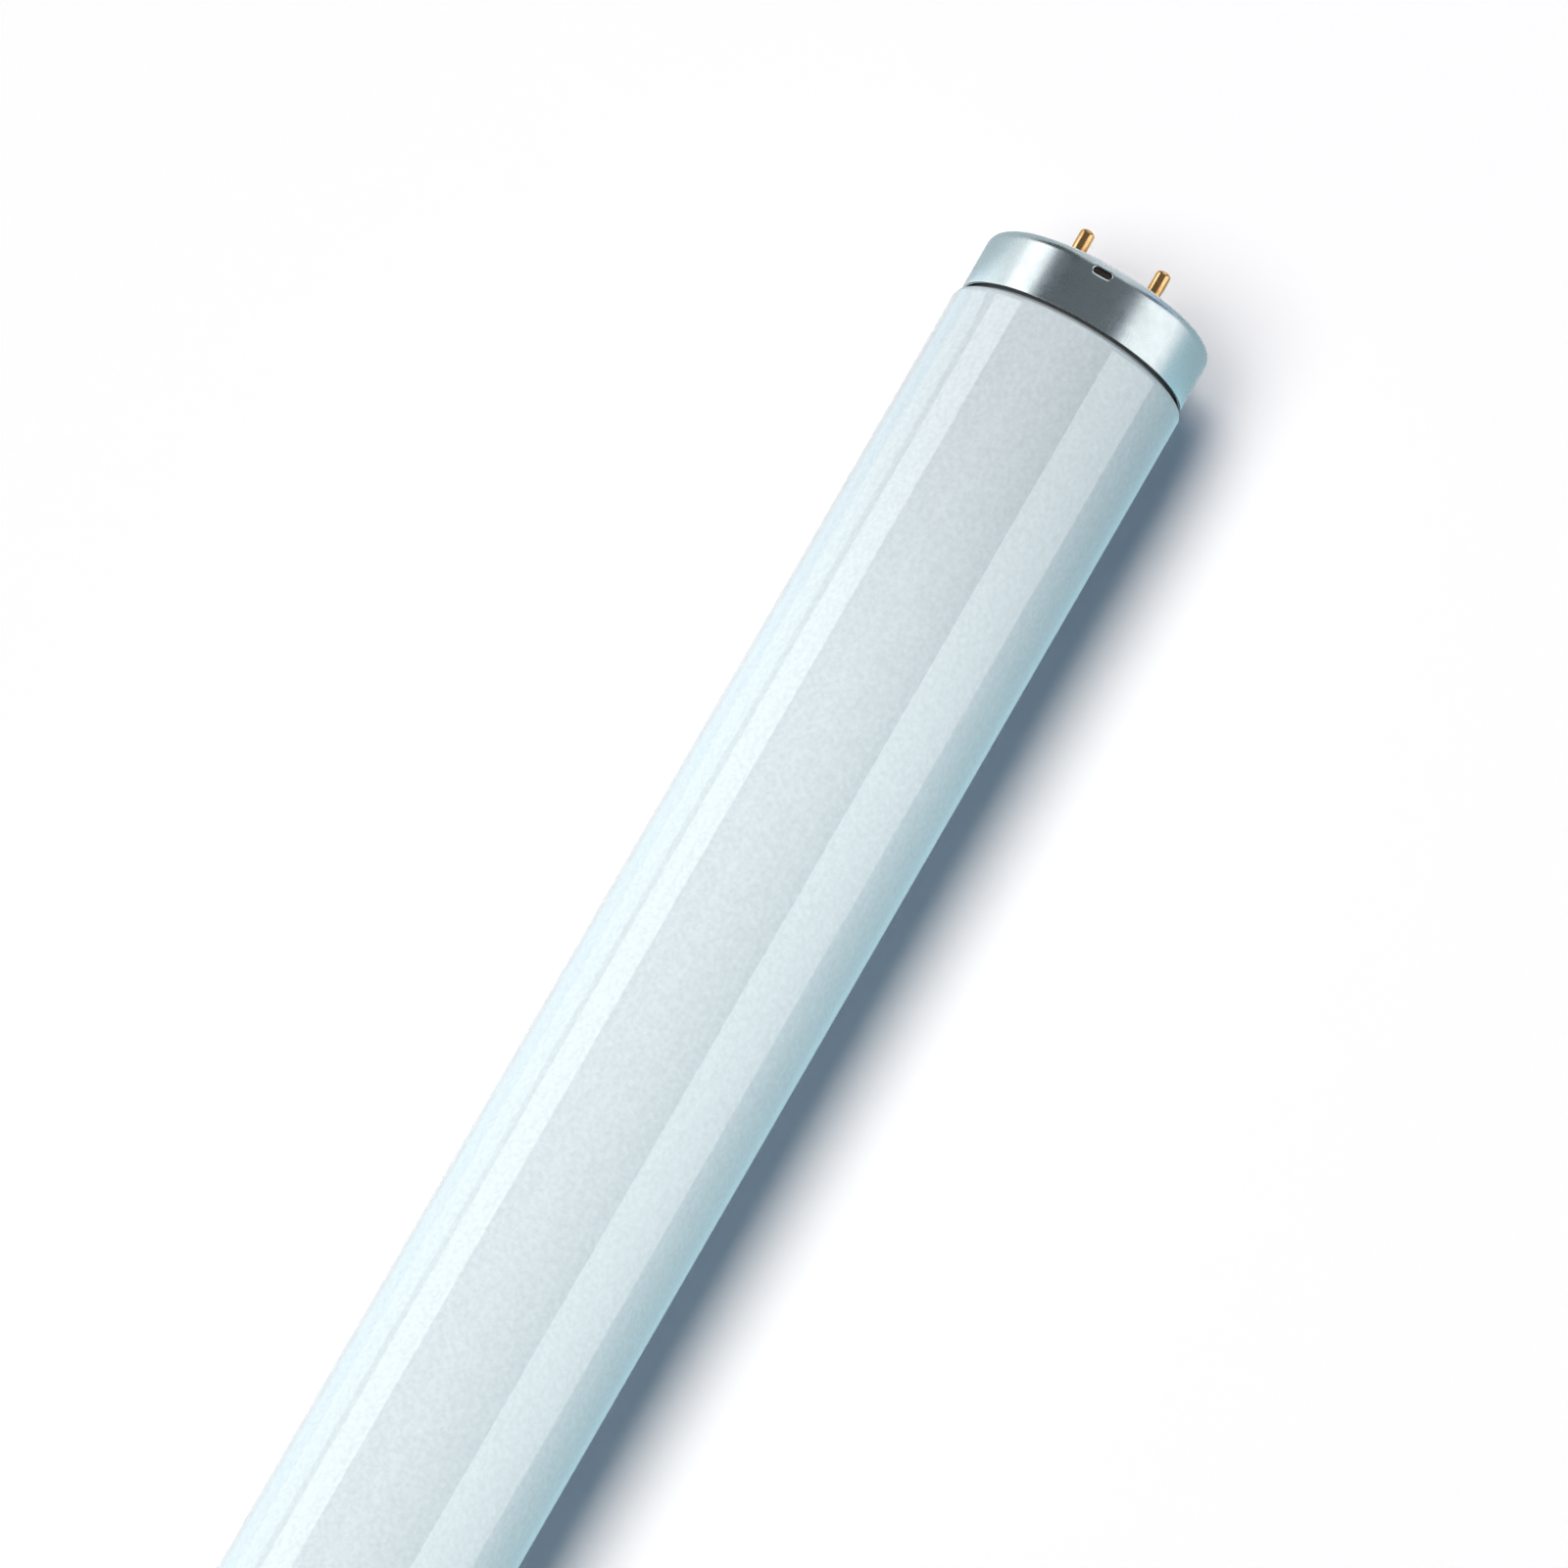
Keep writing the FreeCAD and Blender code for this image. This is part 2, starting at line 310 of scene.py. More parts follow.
def coated_glass(settings):
    """White powder coat under clear glass, greyer towards the caps, with a fine even grain, and a dark
    neck that is partly bare glass and partly painted shade in the gap under the cap's edge.
    """
    shader = Shader("coated_glass")
    axis = shader.add("ShaderNodeSeparateXYZ")
    shader.join(shader.place, axis.inputs["Vector"])
    along = shader.math("ABSOLUTE", axis.outputs["X"])
    end = CAP_LOW.x
    greying = shader.span(along, (end - settings.end_fade, end), (0, 1), smooth=True)
    tone = shader.mix(greying, tuple(settings.coat), tuple(settings.end_coat))
    grain = shader.span(shader.noise(scale=1250, detail=2), (0.25, 0.75), (0.895, 1.045))
    streaks = shader.span(shader.noise(scale=420, stretch=(0.012, 1, 1)), NOISE_SPAN, (0.975, 1.0))
    tone = shader.mix(1, tone, shader.math("MULTIPLY", grain, streaks), "MULTIPLY")
    squares = [shader.math("POWER", axis.outputs[name], 2) for name in ("Y", "Z")]
    radius_squared = shader.math("ADD", *squares)
    # Below the coat's end the neck takes the dark colour, which is partly bare glass and partly painted
    # shade in the gap at the cap's edge.
    coat_span = tuple((CAP_RADIUS - inset) ** 2 for inset in (settings.coat_foot, settings.coat_top))
    coated = shader.span(radius_squared, coat_span, (0, 1))
    tone = shader.mix(coated, tuple(settings.bare_glass_and_gap_shade), tone)
    shader.join(tone, shader.surface.inputs["Base Color"])
    shader.set(Roughness=0.55, Specular_IOR_Level=0.1)
    shader.set(Coat_Weight=1.0, Coat_Roughness=0.03, Coat_IOR=1.58)
    return shader.material


def drawn_aluminium(settings):
    """Satin aluminium sheet with fine draw lines along the cap, dull patches and faint rings."""
    shader = Shader("drawn_aluminium")
    patches = shader.noise(scale=420, detail=5)
    lines = shader.noise(scale=1, stretch=(260, 5200, 5200), detail=4)
    rings = shader.noise(scale=1, stretch=(7000, 160, 160), detail=2)
    patch_tone = shader.span(patches, (0.35, 0.7), (0, 1))
    tone = shader.mix(patch_tone, tuple(settings.metal), darker(settings.metal, 0.93))
    shader.join(tone, shader.surface.inputs["Base Color"])
    patch_dullness = shader.span(patches, NOISE_SPAN, (0.22, 0.30))
    line_dullness = shader.span(lines, NOISE_SPAN, (0, 0.04))
    dullness = shader.math("ADD", patch_dullness, line_dullness)
    shader.join(dullness, shader.surface.inputs["Roughness"])
    shader.bump(shader.math("ADD", lines, rings), distance=0.0008 * MM)
    shader.set(Metallic=1.0)
    return shader.material


def pin_brass(settings):
    """Bright turned brass with fine rings and a patchy brown film."""
    shader = Shader("pin_brass")
    film = shader.noise(scale=700, stretch=(0.6, 1, 1), detail=4)
    rings = shader.noise(scale=1, stretch=(9000, 120, 120), detail=3)
    film_tone = shader.span(film, (0.42, 0.75), (0, 1))
    tone = shader.mix(film_tone, tuple(settings.brass), tuple(settings.tarnish))
    shader.join(tone, shader.surface.inputs["Base Color"])
    shader.join(shader.span(film, NOISE_SPAN, (0.16, 0.34)), shader.surface.inputs["Roughness"])
    shader.bump(rings, distance=0.004 * MM)
    shader.set(Metallic=1.0)
    return shader.material


def phenolic_laminate(settings):
    """Dull brown laminate with paler paper fibres."""
    shader = Shader("phenolic_laminate")
    fibres = shader.noise(scale=900, stretch=(1, 0.35, 1), detail=6, rough=0.7)
    fibre_tone = shader.span(fibres, (0.4, 0.72), (0, 1))
    tone = shader.mix(fibre_tone, tuple(settings.phenolic), tuple(settings.fibre))
    shader.join(tone, shader.surface.inputs["Base Color"])
    shader.join(shader.span(fibres, NOISE_SPAN, (0.42, 0.6)), shader.surface.inputs["Roughness"])
    shader.bump(fibres, distance=0.02 * MM)
    shader.set(Specular_IOR_Level=0.2)
    return shader.material


def basing_cement(settings):
    """Dull granular cement."""
    shader = Shader("basing_cement")
    grains = shader.noise(scale=2400, detail=5, rough=0.7)
    grain_tone = shader.span(grains, NOISE_SPAN, (0, 1))
    tone = shader.mix(grain_tone, darker(settings.cement, 0.7), tuple(settings.cement))
    shader.join(tone, shader.surface.inputs["Base Color"])
    shader.bump(grains, distance=0.06 * MM)
    shader.set(Roughness=0.9)
    return shader.material


def plated_wire(settings):
    """Plated wire with fine lines along it."""
    shader = Shader("plated_wire")
    lines = shader.noise(scale=1, stretch=(300, 9000, 9000), detail=3)
    line_tone = shader.span(lines, NOISE_SPAN, (0, 1))
    tone = shader.mix(line_tone, tuple(settings.wire), darker(settings.wire, 0.8))
    shader.join(tone, shader.surface.inputs["Base Color"])
    shader.join(shader.span(lines, NOISE_SPAN, (0.28, 0.42)), shader.surface.inputs["Roughness"])
    shader.set(Metallic=1.0)
    return shader.material


def arc(centre, radius, start, end, count):
    """Points on a circle about (depth, radius), from one angle to another in degrees."""
    turn = np.radians(np.linspace(start, end, count))
    return np.stack([centre[0] + radius * np.cos(turn), centre[1] + radius * np.sin(turn)], 1)


def line(start, end, count=2):
    """Points on a straight line, closest together at its ends: shares go as half of 1 - cosine."""
    share = (1 - np.cos(np.linspace(0, np.pi, count))) / 2
    return np.asarray(start) + share[:, None] * (np.asarray(end) - np.asarray(start))


def chain(*runs):
    """Runs of points joined end to end, without the points that repeat."""
    points = np.concatenate(runs)
    step = np.linalg.norm(np.diff(points, axis=0), axis=1)
    return points[np.concatenate([[True], step > MERGE_DISTANCE])]


def turned(section, turns):
    """Surface of revolution about X as a grid: row = place on the section, column = turn.

    A section point is a depth behind the right cap's face and a radius, so it goes to
    x = face - depth, y = radius times the sine of the turn, z = radius times its cosine.
    """
    depth, radius = section[:, 0, None], section[:, 1, None]
    x = np.broadcast_to(FACE - depth, (len(section), len(turns)))
    return np.stack([x, radius * np.sin(turns), radius * np.cos(turns)], 2)


def grid_faces(rows, columns, close_rows, close_columns):
    """Corner numbers of the quads of a grid, closed on itself where asked."""
    index = np.arange(rows * columns).reshape(rows, columns)
    if close_rows:
        index = np.concatenate([index, index[:1]])
    if close_columns:
        index = np.concatenate([index, index[:, :1]], axis=1)
    corners = [index[:-1, :-1], index[:-1, 1:], index[1:, 1:], index[1:, :-1]]
    return np.stack(corners, 2)


def full_turn(segments):
    """Evenly spaced turns round the axis, the first at the top."""
    return np.linspace(0, 2 * np.pi, segments, endpoint=False)


def finish_piece(name, patches, material, replaces):
    """A closed smooth mesh from (points, faces) patches, riding on the lamp for a CAD node."""
    mesh = bpy.data.meshes.new(name)
    build = bmesh.new()
    for points, faces in patches:
        mesh.clear_geometry()
        mesh.from_pydata(points.reshape(-1, 3).tolist(), [], faces.reshape(-1, 4).tolist())
        build.from_mesh(mesh)
    bmesh.ops.remove_doubles(build, verts=build.verts, dist=MERGE_DISTANCE)
    bmesh.ops.dissolve_degenerate(build, edges=build.edges, dist=MERGE_DISTANCE)
    bmesh.ops.recalc_face_normals(build, faces=build.faces)
    build.to_mesh(mesh)
    build.free()
    mesh.polygons.foreach_set("use_smooth", np.ones(len(mesh.polygons), bool))
    mesh.set_sharp_from_angle(angle=SHARP_ANGLE)
    mesh.materials.append(material)
    piece = bpy.data.objects.new(name, mesh)
    bpy.context.scene.collection.objects.link(piece)
    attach(piece, BODY)
    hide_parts(replaces)


def other_end(points):
    """The same points on the left end: turned half round about Z."""
    return points * np.array([-1, -1, 1])


# Points along half of the straight glass.
STRAIGHT_POINTS = 40


def glass_section(settings):
    """Half of the glass outline, from the exhaust tip on the axis to the middle of the tube.

    The flare is an arc through the lip's inner edge that runs into the stem without a corner: its
    radius is the sum of the squares of its length and spread, over twice the spread. The shoulder
    is two arcs with a straight slope between them, so the straight glass starts past the cap by
    both radii times the slope's sine, plus what is left to rise over the slope's tangent.
    """
    neck = CAP_INSIDE - settings.cement
    neck_end = FACE - settings.neck_end
    lip = (neck_end + settings.lip, neck - settings.lip)
    stem_start = lip[0] + settings.flare
    floor = stem_start + settings.stem
    tip = (floor - settings.exhaust + settings.exhaust_radius, 0)
    spread = lip[1] - settings.lip - settings.stem_radius
    flare_radius = (settings.flare**2 + spread**2) / (2 * spread)
    flare_turn = math.degrees(math.atan2(settings.flare, flare_radius - spread))
    slope = math.degrees(settings.slope)
    both = settings.foot + settings.crown
    rise = settings.radius - neck - both * (1 - math.cos(settings.slope))
    start = CAP_LENGTH + both * math.sin(settings.slope) + rise / math.tan(settings.slope)
    far_start = 2 * FACE - start
    straight = line((start, settings.radius), (far_start, settings.radius), count=2 * STRAIGHT_POINTS)
    flare_centre = (stem_start, settings.stem_radius + flare_radius)
    return chain(
        arc(tip, settings.exhaust_radius, 180, 90, count=10),
        line((tip[0], settings.exhaust_radius), (floor, settings.exhaust_radius)),
        line((floor, settings.stem_radius), (stem_start, settings.stem_radius)),
        arc(flare_centre, flare_radius, 270, 270 - flare_turn, count=16),
        arc(lip, settings.lip, 270, 90, count=16),
        line((lip[0], neck), (CAP_LENGTH, neck), count=8),
        arc((CAP_LENGTH, neck + settings.foot), settings.foot, 270, 270 + slope, count=14),
        arc((start, settings.radius - settings.crown), settings.crown, 90 + slope, 90, count=22),
        straight[:STRAIGHT_POINTS],
        [(FACE, settings.radius)],
    )


class BuildGlassTube(bpy.types.Operator):
    """Build the coated glass with its necks, shoulders and stems"""

    bl_idname = "fluorescent_tube.build_glass"
    bl_label = "Glass tube"

    def execute(self, context):
        settings = context.scene.tube_glass
        half = turned(glass_section(settings), full_turn(settings.segments))
        faces = grid_faces(*half.shape[:2], False, True)
        patches = [(half, faces), (other_end(half), faces)]
        material = coated_glass(settings)
        finish_piece("coated_tube", patches, material, "glass_bulb")
        return {"FINISHED"}


# Grid steps of the cap: round its corner, and on the wall beside the lock hole.
CORNER_STEPS = 24
WALL_STEPS = 3
# Grid steps that the window round the hole takes: of the corner, and to each side of the top.
PATCH_CORNER_STEPS = 13
PATCH_TURN_STEPS = 6
# Rings from the window's edge to the hole's pressed edge, and over that edge.
PATCH_RINGS = 8
ROLL_STEPS = 8
# Plain sheet between the hole's pressed edge and the window's back.
WINDOW_MARGIN = 0.4 * MM
# Width of the pressed edge at the hole's two ends, as a share of its width at the back.
ROLL_MIDDLE = 0.6
# Points round a cut edge of the sheet.
EDGE_POINTS = 9
# Least part of a ray along the tube, so that nothing is divided by zero.
LEAST_PART = 1e-9


def cap_walls(settings):
    """Outer and inner outlines of the shell, each from beside the lock hole over the corner to the rim.

    Both run parallel, one sheet thickness apart, with the same number of points.
    """
    back = settings.hole_depth + settings.hole_length / 2 + settings.hole_roll + WINDOW_MARGIN
    corner = (settings.corner, CAP_RADIUS - settings.corner)
    walls = []
    for wall in (0, CAP_WALL):
        radius = CAP_RADIUS - wall
        walls.append(
            chain(
                line((back, radius), (settings.corner, radius), WALL_STEPS + 1),
                arc(corner, settings.corner - wall, 90, 180, CORNER_STEPS + 1),
            )
        )
    return walls


def cap_section(settings):
    """Closed outline of the shell: outer wall, rolled corner, rim, and back along the inside."""
    outer, inner = cap_walls(settings)
    edge = settings.edge
    rim = settings.opening + edge
    back = CAP_LENGTH - edge
    return chain(
        outer,
        line((0, outer[-1, 1]), (0, rim), count=8),
        arc((edge, rim), edge, 180, 270, EDGE_POINTS),
        arc((CAP_WALL - edge, rim), edge, 270, 360, EDGE_POINTS),
        line((CAP_WALL, rim), (CAP_WALL, inner[-1, 1]), count=8),
        inner[::-1],
        line(inner[0], (back, CAP_INSIDE), count=14),
        arc((back, CAP_INSIDE + edge), edge, 270, 360, EDGE_POINTS),
        arc((back, CAP_RADIUS - edge), edge, 0, 90, EDGE_POINTS),
        line((back, CAP_RADIUS), outer[0], count=14),
    )[:-1]


def lock_hole_edge(directions, settings, margin):
    """Plan outline of the lock hole, widened by a margin, met by rays from its middle.

    The outline is a slot across the tube: two straight sides, closed by half circles. A ray meets a
    side at the slot's half length over the ray's part along the tube. Where that is past the
    straight run, it meets the half circle, by the formula for a line and a circle.
    """
    along, across = directions[:, 0], np.abs(directions[:, 1])
    radius = settings.hole_length / 2 + margin
    straight = (settings.hole_width - settings.hole_length) / 2
    side = radius / np.maximum(np.abs(along), LEAST_PART)
    inside = np.maximum((straight * across) ** 2 - straight**2 + radius**2, 0)
    end = straight * across + np.sqrt(inside)
    reach = np.where(side * across <= straight, side, end)
    return directions * reach[:, None]


def on_wall(plan, settings, wall, sink=0.0):
    """Points of the shell above plan places (depth, across), on its outer or inner wall.

    The wall's radius is constant behind the corner and follows the corner's circle before it. The
    height is what is left of that radius at the place across, less an even sink.
    """
    into_corner = np.maximum(settings.corner - plan[:, 0], 0)
    bend = settings.corner - wall
    radius = CAP_RADIUS - settings.corner + np.sqrt(np.maximum(bend**2 - into_corner**2, 0))
    height = np.sqrt(radius**2 - plan[:, 1] ** 2) - sink
    return np.stack([FACE - plan[:, 0], plan[:, 1], height], 1)


def hole_rings(settings, wall, boundary, roll, depth):
    """Rings of points from a loop on the wall in to the lock hole, the last ones rolled into it.

    The pressed edge is widest at the back of the hole and narrowest next to the corner. Its section
    is a quarter of an ellipse: a ring's width goes as 1 less the sine of the turn over the edge,
    and its sink as 1 less the cosine.
    """
    plan = np.stack([FACE - boundary[:, 0], boundary[:, 1]], 1)
    middle = np.array([settings.hole_depth, 0])
    rays = plan - middle
    rays = rays / np.linalg.norm(rays, axis=1, keepdims=True)
    roll = roll * (ROLL_MIDDLE + (1 - ROLL_MIDDLE) * rays[:, 0])
    brink = middle + lock_hole_edge(rays, settings, roll)
    shares = np.linspace(0, 1, PATCH_RINGS)
    rings = [on_wall(plan + (brink - plan) * share, settings, wall) for share in shares]
    for turn in np.linspace(0, np.pi / 2, ROLL_STEPS)[1:]:
        edge = middle + lock_hole_edge(rays, settings, roll * (1 - math.sin(turn)))
        rings.append(on_wall(edge, settings, wall, depth * (1 - math.cos(turn))))
    rings[0] = boundary
    return rings


def cap_patches(settings):
    """Grids of the shell: the turned section without a window at the top, and rings in the window.

    The window is a block of grid cells round the lock hole on each wall. Its edge loop is carried
    in ring by ring to the hole on the outer wall, through the sheet, and out again on the inner.
    """
    section = cap_section(settings)
    turns = full_turn(settings.segments)
    shell = turned(section, turns)
    faces = grid_faces(*shell.shape[:2], True, True)
    row_count = WALL_STEPS + PATCH_CORNER_STEPS
    inner_start = cap_walls(settings)[1][0]
    inner_row = int(np.linalg.norm(section - inner_start, axis=1).argmin())
    columns = np.arange(-PATCH_TURN_STEPS, PATCH_TURN_STEPS + 1) % settings.segments
    keep = np.ones(faces.shape[:2], bool)
    loops = []
    for rows in (np.arange(row_count + 1), inner_row - np.arange(row_count + 1)):
        cells = np.minimum(rows[:-1], rows[1:])
        keep[np.ix_(cells, columns[:-1])] = False
        block = shell[np.ix_(rows, columns)]
        loops.append(
            np.concatenate([block[0, :-1], block[:-1, -1], block[-1, :0:-1], block[:0:-1, 0]])
        )
    rings = hole_rings(settings, 0, loops[0], settings.hole_roll, settings.hole_sink)
    rings += hole_rings(settings, CAP_WALL, loops[1], 0.0, 0.0)[:PATCH_RINGS][::-1]
    window = np.stack(rings)
    return [(shell, faces[keep]), (window, grid_faces(*window.shape[:2], False, True))]


class BuildEndCaps(bpy.types.Operator):
    """Build the two drawn aluminium cap shells with their lock holes"""

    bl_idname = "fluorescent_tube.build_caps"
    bl_label = "End caps"

    def execute(self, context):
        settings = context.scene.tube_caps
        material = drawn_aluminium(settings)
        patches = cap_patches(settings)
        far_patches = [(other_end(points), faces) for points, faces in patches]
        finish_piece("right_end_cap", patches, material, "right_cap_shell")
        finish_piece("left_end_cap", far_patches, material, "left_cap_shell")
        return {"FINISHED"}


def pin_section(settings):
    """Closed outline of a pin: rounded tip, collar, shank, rivet head, and back along the bore."""
    tip = FACE - PIN_HIGH.x
    front = FACE - INSULATOR_HIGH.x
    back = FACE - INSULATOR_LOW.x
    collar_radius = (PIN_HIGH.y - PIN_LOW.y) / 2
    collar_front = front - settings.collar
    wire = (WIRE_HIGH.z - WIRE_LOW.z) / 2
    edge = settings.edge
    bore_end = tip + settings.tip_wall
    rivet_back = back + settings.collar
    return chain(
        arc((tip + edge, wire + edge), edge, 270, 180, count=5),
        arc((tip + settings.tip, settings.radius - settings.tip), settings.tip, 180, 90, count=16),
        line((tip + settings.tip, settings.radius), (collar_front - edge, settings.radius), count=12),
        arc((collar_front - edge, settings.radius + edge), edge, 270, 360, count=5),
        arc((collar_front + edge, collar_radius - edge), edge, 180, 90, count=5),
        line((collar_front + edge, collar_radius), (front, collar_radius)),
        line((front, settings.shank), (back, settings.shank)),
        line((back, settings.rivet), (rivet_back, settings.rivet)),
        line((rivet_back, settings.bore), (bore_end, settings.bore)),
        line((bore_end, wire), (tip + edge, wire)),
    )[:-1]


class BuildContactPins(bpy.types.Operator):
    """Build the four hollow brass pins"""

    bl_idname = "fluorescent_tube.build_pins"
    bl_label = "Contact pins"

    def execute(self, context):
        settings = context.scene.tube_pins
        material = pin_brass(settings)
        centred = turned(pin_section(settings), full_turn(settings.segments))
        faces = grid_faces(*centred.shape[:2], True, True)
        for side, y in (("front", -PIN_Y), ("rear", PIN_Y)):
            right = centred + np.array([0, y, 0])
            left = other_end(centred) + np.array([0, y, 0])
            for end, points in (("right", right), ("left", left)):
                node = f"{end}_{side}_pin"
                name = f"{end}_{side}_contact"
                finish_piece(name, [(points, faces)], material, node)
        return {"FINISHED"}


class FinishInnerPieces(bpy.types.Operator):
    """Give the insulators, cement rings and lead wires their finishes"""

    bl_idname = "fluorescent_tube.finish_inner"
    bl_label = "Insulators, cement and wires"

    def execute(self, context):
        settings = context.scene.tube_inner
        finishes = {
            "insulator": phenolic_laminate(settings),
            "cement_ring": basing_cement(settings),
            "lead_wire": plated_wire(settings),
        }
        for name, node in frame["nodes"].items():
            for ending, material in finishes.items():
                if name.endswith(ending):
                    node.data.materials.clear()
                    node.data.materials.append(material)
        return {"FINISHED"}


def stage_quad(name, corners, material):
    """A flat four-cornered stage object."""
    mesh = bpy.data.meshes.new(name)
    mesh.from_pydata(corners, [], [(0, 1, 2, 3)])
    mesh.materials.append(material)
    quad = bpy.data.objects.new(name, mesh)
    bpy.context.scene.collection.objects.link(quad)
    return quad


def pale_floor(settings):
    """Matt floor, white where it is seen, straight or in a shine, and greyer in the light it returns."""
    shader = Shader("pale_floor")
    path = shader.add("ShaderNodeLightPath")
    seen = path.outputs["Is Camera Ray"]
    for kind in ("Is Glossy Ray", "Is Transmission Ray"):
        seen = shader.math("MAXIMUM", seen, path.outputs[kind])
    tone = shader.mix(seen, tuple(settings.floor_bounce), tuple(settings.floor))
    shader.join(tone, shader.surface.inputs["Base Color"])
    shader.set(Roughness=0.95, Specular_IOR_Level=0.0)
    return shader.material


def glow(name, tint, strength):
    """A plain light-giving material."""
    material = bpy.data.materials.new(name)
    material.use_nodes = True
    nodes = material.node_tree.nodes
    nodes.clear()
    emission = nodes.new("ShaderNodeEmission")
    emission.inputs["Color"].default_value = (*tint, 1)
    emission.inputs["Strength"].default_value = strength
    output = nodes.new("ShaderNodeOutputMaterial")
    material.node_tree.links.new(emission.outputs["Emission"], output.inputs["Surface"])
    return material


def light_panel(name, corners, tint, strength=1.0):
    """A four-cornered panel of even light that only reflections meet."""
    panel = stage_quad(name, corners, glow(name, tint, strength))
    panel.visible_camera = False
    panel.visible_shadow = False
    panel.visible_diffuse = False
    return panel


# Energy of an area lamp, over its area, that makes its light as strong as a panel's of strength 1.
LAMP_ENERGY = 4
# Place of a lamp as a share of its panel's distance from the tube, so that it is just before it.
LAMP_PLACE = 0.99


def panel_lamp(name, corners, tint, strength, rays):
    """An area lamp just before an upright panel and of its size, for reflections or matt surfaces."""
    low, high = Vector(corners[0]), Vector(corners[2])
    lamp = bpy.data.lights.new(name, "AREA")
    lamp.shape = "RECTANGLE"
    lamp.size = high.x - low.x
    lamp.size_y = high.z - low.z
    lamp.energy = LAMP_ENERGY * lamp.size * lamp.size_y * strength
    lamp.color = tint
    holder = bpy.data.objects.new(name, lamp)
    holder.location = (low + high) / 2
    holder.location.y *= LAMP_PLACE
    holder.rotation_euler.x = math.copysign(math.pi / 2, -low.y)
    holder.visible_camera = False
    holder.visible_diffuse = rays == "diffuse"
    holder.visible_glossy = rays == "glossy"
    bpy.context.scene.collection.objects.link(holder)
    return holder


def upright(y, elevations, near, far):
    """Corners of an upright panel along the tube, between two elevations seen from its axis."""
    low, high = (abs(y) * math.tan(math.radians(e)) for e in elevations)
    return [(near, y, low), (far, y, low), (far, y, high), (near, y, high)]


def across(x, half, elevations):
    """Corners of an upright panel across the tube's line, between two elevations seen from the cap."""
    low, high = ((x - FACE) * math.tan(math.radians(e)) for e in elevations)
    return [(x, -half, low), (x, half, low), (x, half, high), (x, -half, high)]


def link_light(panel, pieces, state):
    """Lets a panel light these pieces only, with INCLUDE, or all but these, with EXCLUDE."""
    group = bpy.data.collections.new(panel.name + "_pieces")
    for number, piece in enumerate(pieces):
        group.objects.link(piece)
        group.collection_objects[number].light_linking.link_state = state
    panel.light_linking.receiver_collection = group


def level(z, *places):
    """Corners of a level panel at a height, from its (x, y) places."""
    return [(x, y, z) for x, y in places]


# Shift along the tube of what is reflected, over its distance aside, in a view tilted along it.
TILT_SHIFT = 0.25


def under_cap_edge(y):
    """Place on the floor, at y, that shows in the tube at the cap's open edge.

    The view is tilted along the tube, so the place is further along by the shift times y.
    """
    return CAP_LOW.x + TILT_SHIFT * abs(y), y


def sky_light(settings):
    """A dim sky that grows paler towards the horizon."""
    world = bpy.data.worlds.new("studio_sky")
    world.use_nodes = True
    tree = world.node_tree
    place = tree.nodes.new("ShaderNodeTexCoord")
    split = tree.nodes.new("ShaderNodeSeparateXYZ")
    rise = tree.nodes.new("ShaderNodeMapRange")
    rise.interpolation_type = "SMOOTHSTEP"
    rise.inputs["From Min"].default_value = 0
    rise.inputs["From Max"].default_value = math.sin(settings.sky_start)
    tone = tree.nodes.new("ShaderNodeMix")
    tone.data_type = "RGBA"
    tone.inputs[MIX_FIRST].default_value = (*settings.horizon, 1)
    tone.inputs[MIX_SECOND].default_value = (*settings.sky, 1)
    tree.links.new(place.outputs["Generated"], split.inputs["Vector"])
    tree.links.new(split.outputs["Z"], rise.inputs["Value"])
    tree.links.new(rise.outputs["Result"], tone.inputs["Factor"])
    tree.links.new(tone.outputs[MIX_RESULT], tree.nodes["Background"].inputs["Color"])
    bpy.context.scene.world = world


# Places of the key lamps in their row, in steps from its middle.
KEY_ROW = (-1, 0, 1)


def key_light(settings):
    """A soft light from above, a little to the left: wide lamps in a row along the tube."""
    for number in KEY_ROW:
        back = settings.key_back + number * settings.key_reach
        aside = settings.key_aside
        towards = Vector((-math.tan(back), math.tan(aside), 1)).normalized()
        lamp = bpy.data.lights.new("key", "SUN")
        lamp.angle = settings.key_spread
        lamp.energy = settings.key * math.pi / towards.z / len(KEY_ROW)
        lamp.color = settings.key_tint
        holder = bpy.data.objects.new("key", lamp)
        holder.rotation_euler = towards.to_track_quat("Z", "Y").to_euler()
        holder.visible_glossy = False
        bpy.context.scene.collection.objects.link(holder)


# Far limit of the view, in distances from the camera to the tube.
CLIP_REACH = 10


def camera_view(settings):
    """A long lens that sees the tube leaning in the picture and tilted away from it.

    The view is turned about the tube from straight above, then tilted back along it, and the
    picture is rolled by the lean.
    """
    over = Vector((0, -math.sin(settings.facing), math.cos(settings.facing)))
    axis = Vector((1, 0, 0))
    back = over * math.cos(settings.tilt) - axis * math.sin(settings.tilt)
    along = axis * math.cos(settings.tilt) + over * math.sin(settings.tilt)
    aside = along.cross(back)
    right = along * math.sin(settings.lean) + aside * math.cos(settings.lean)
    up = along * math.cos(settings.lean) - aside * math.sin(settings.lean)
    aim = axis * (CAP_LOW.x - settings.aim_back) - aside * settings.aim_aside
    data = bpy.data.cameras.new("camera")
    data.lens = settings.lens
    distance = settings.frame_width * data.lens / data.sensor_width
    data.clip_end = CLIP_REACH * distance
    camera = bpy.data.objects.new("camera", data)
    turn = Matrix((right, up, back)).transposed()
    camera.matrix_world = Matrix.Translation(aim + back * distance) @ turn.to_4x4()
    bpy.context.scene.collection.objects.link(camera)
    bpy.context.scene.camera = camera


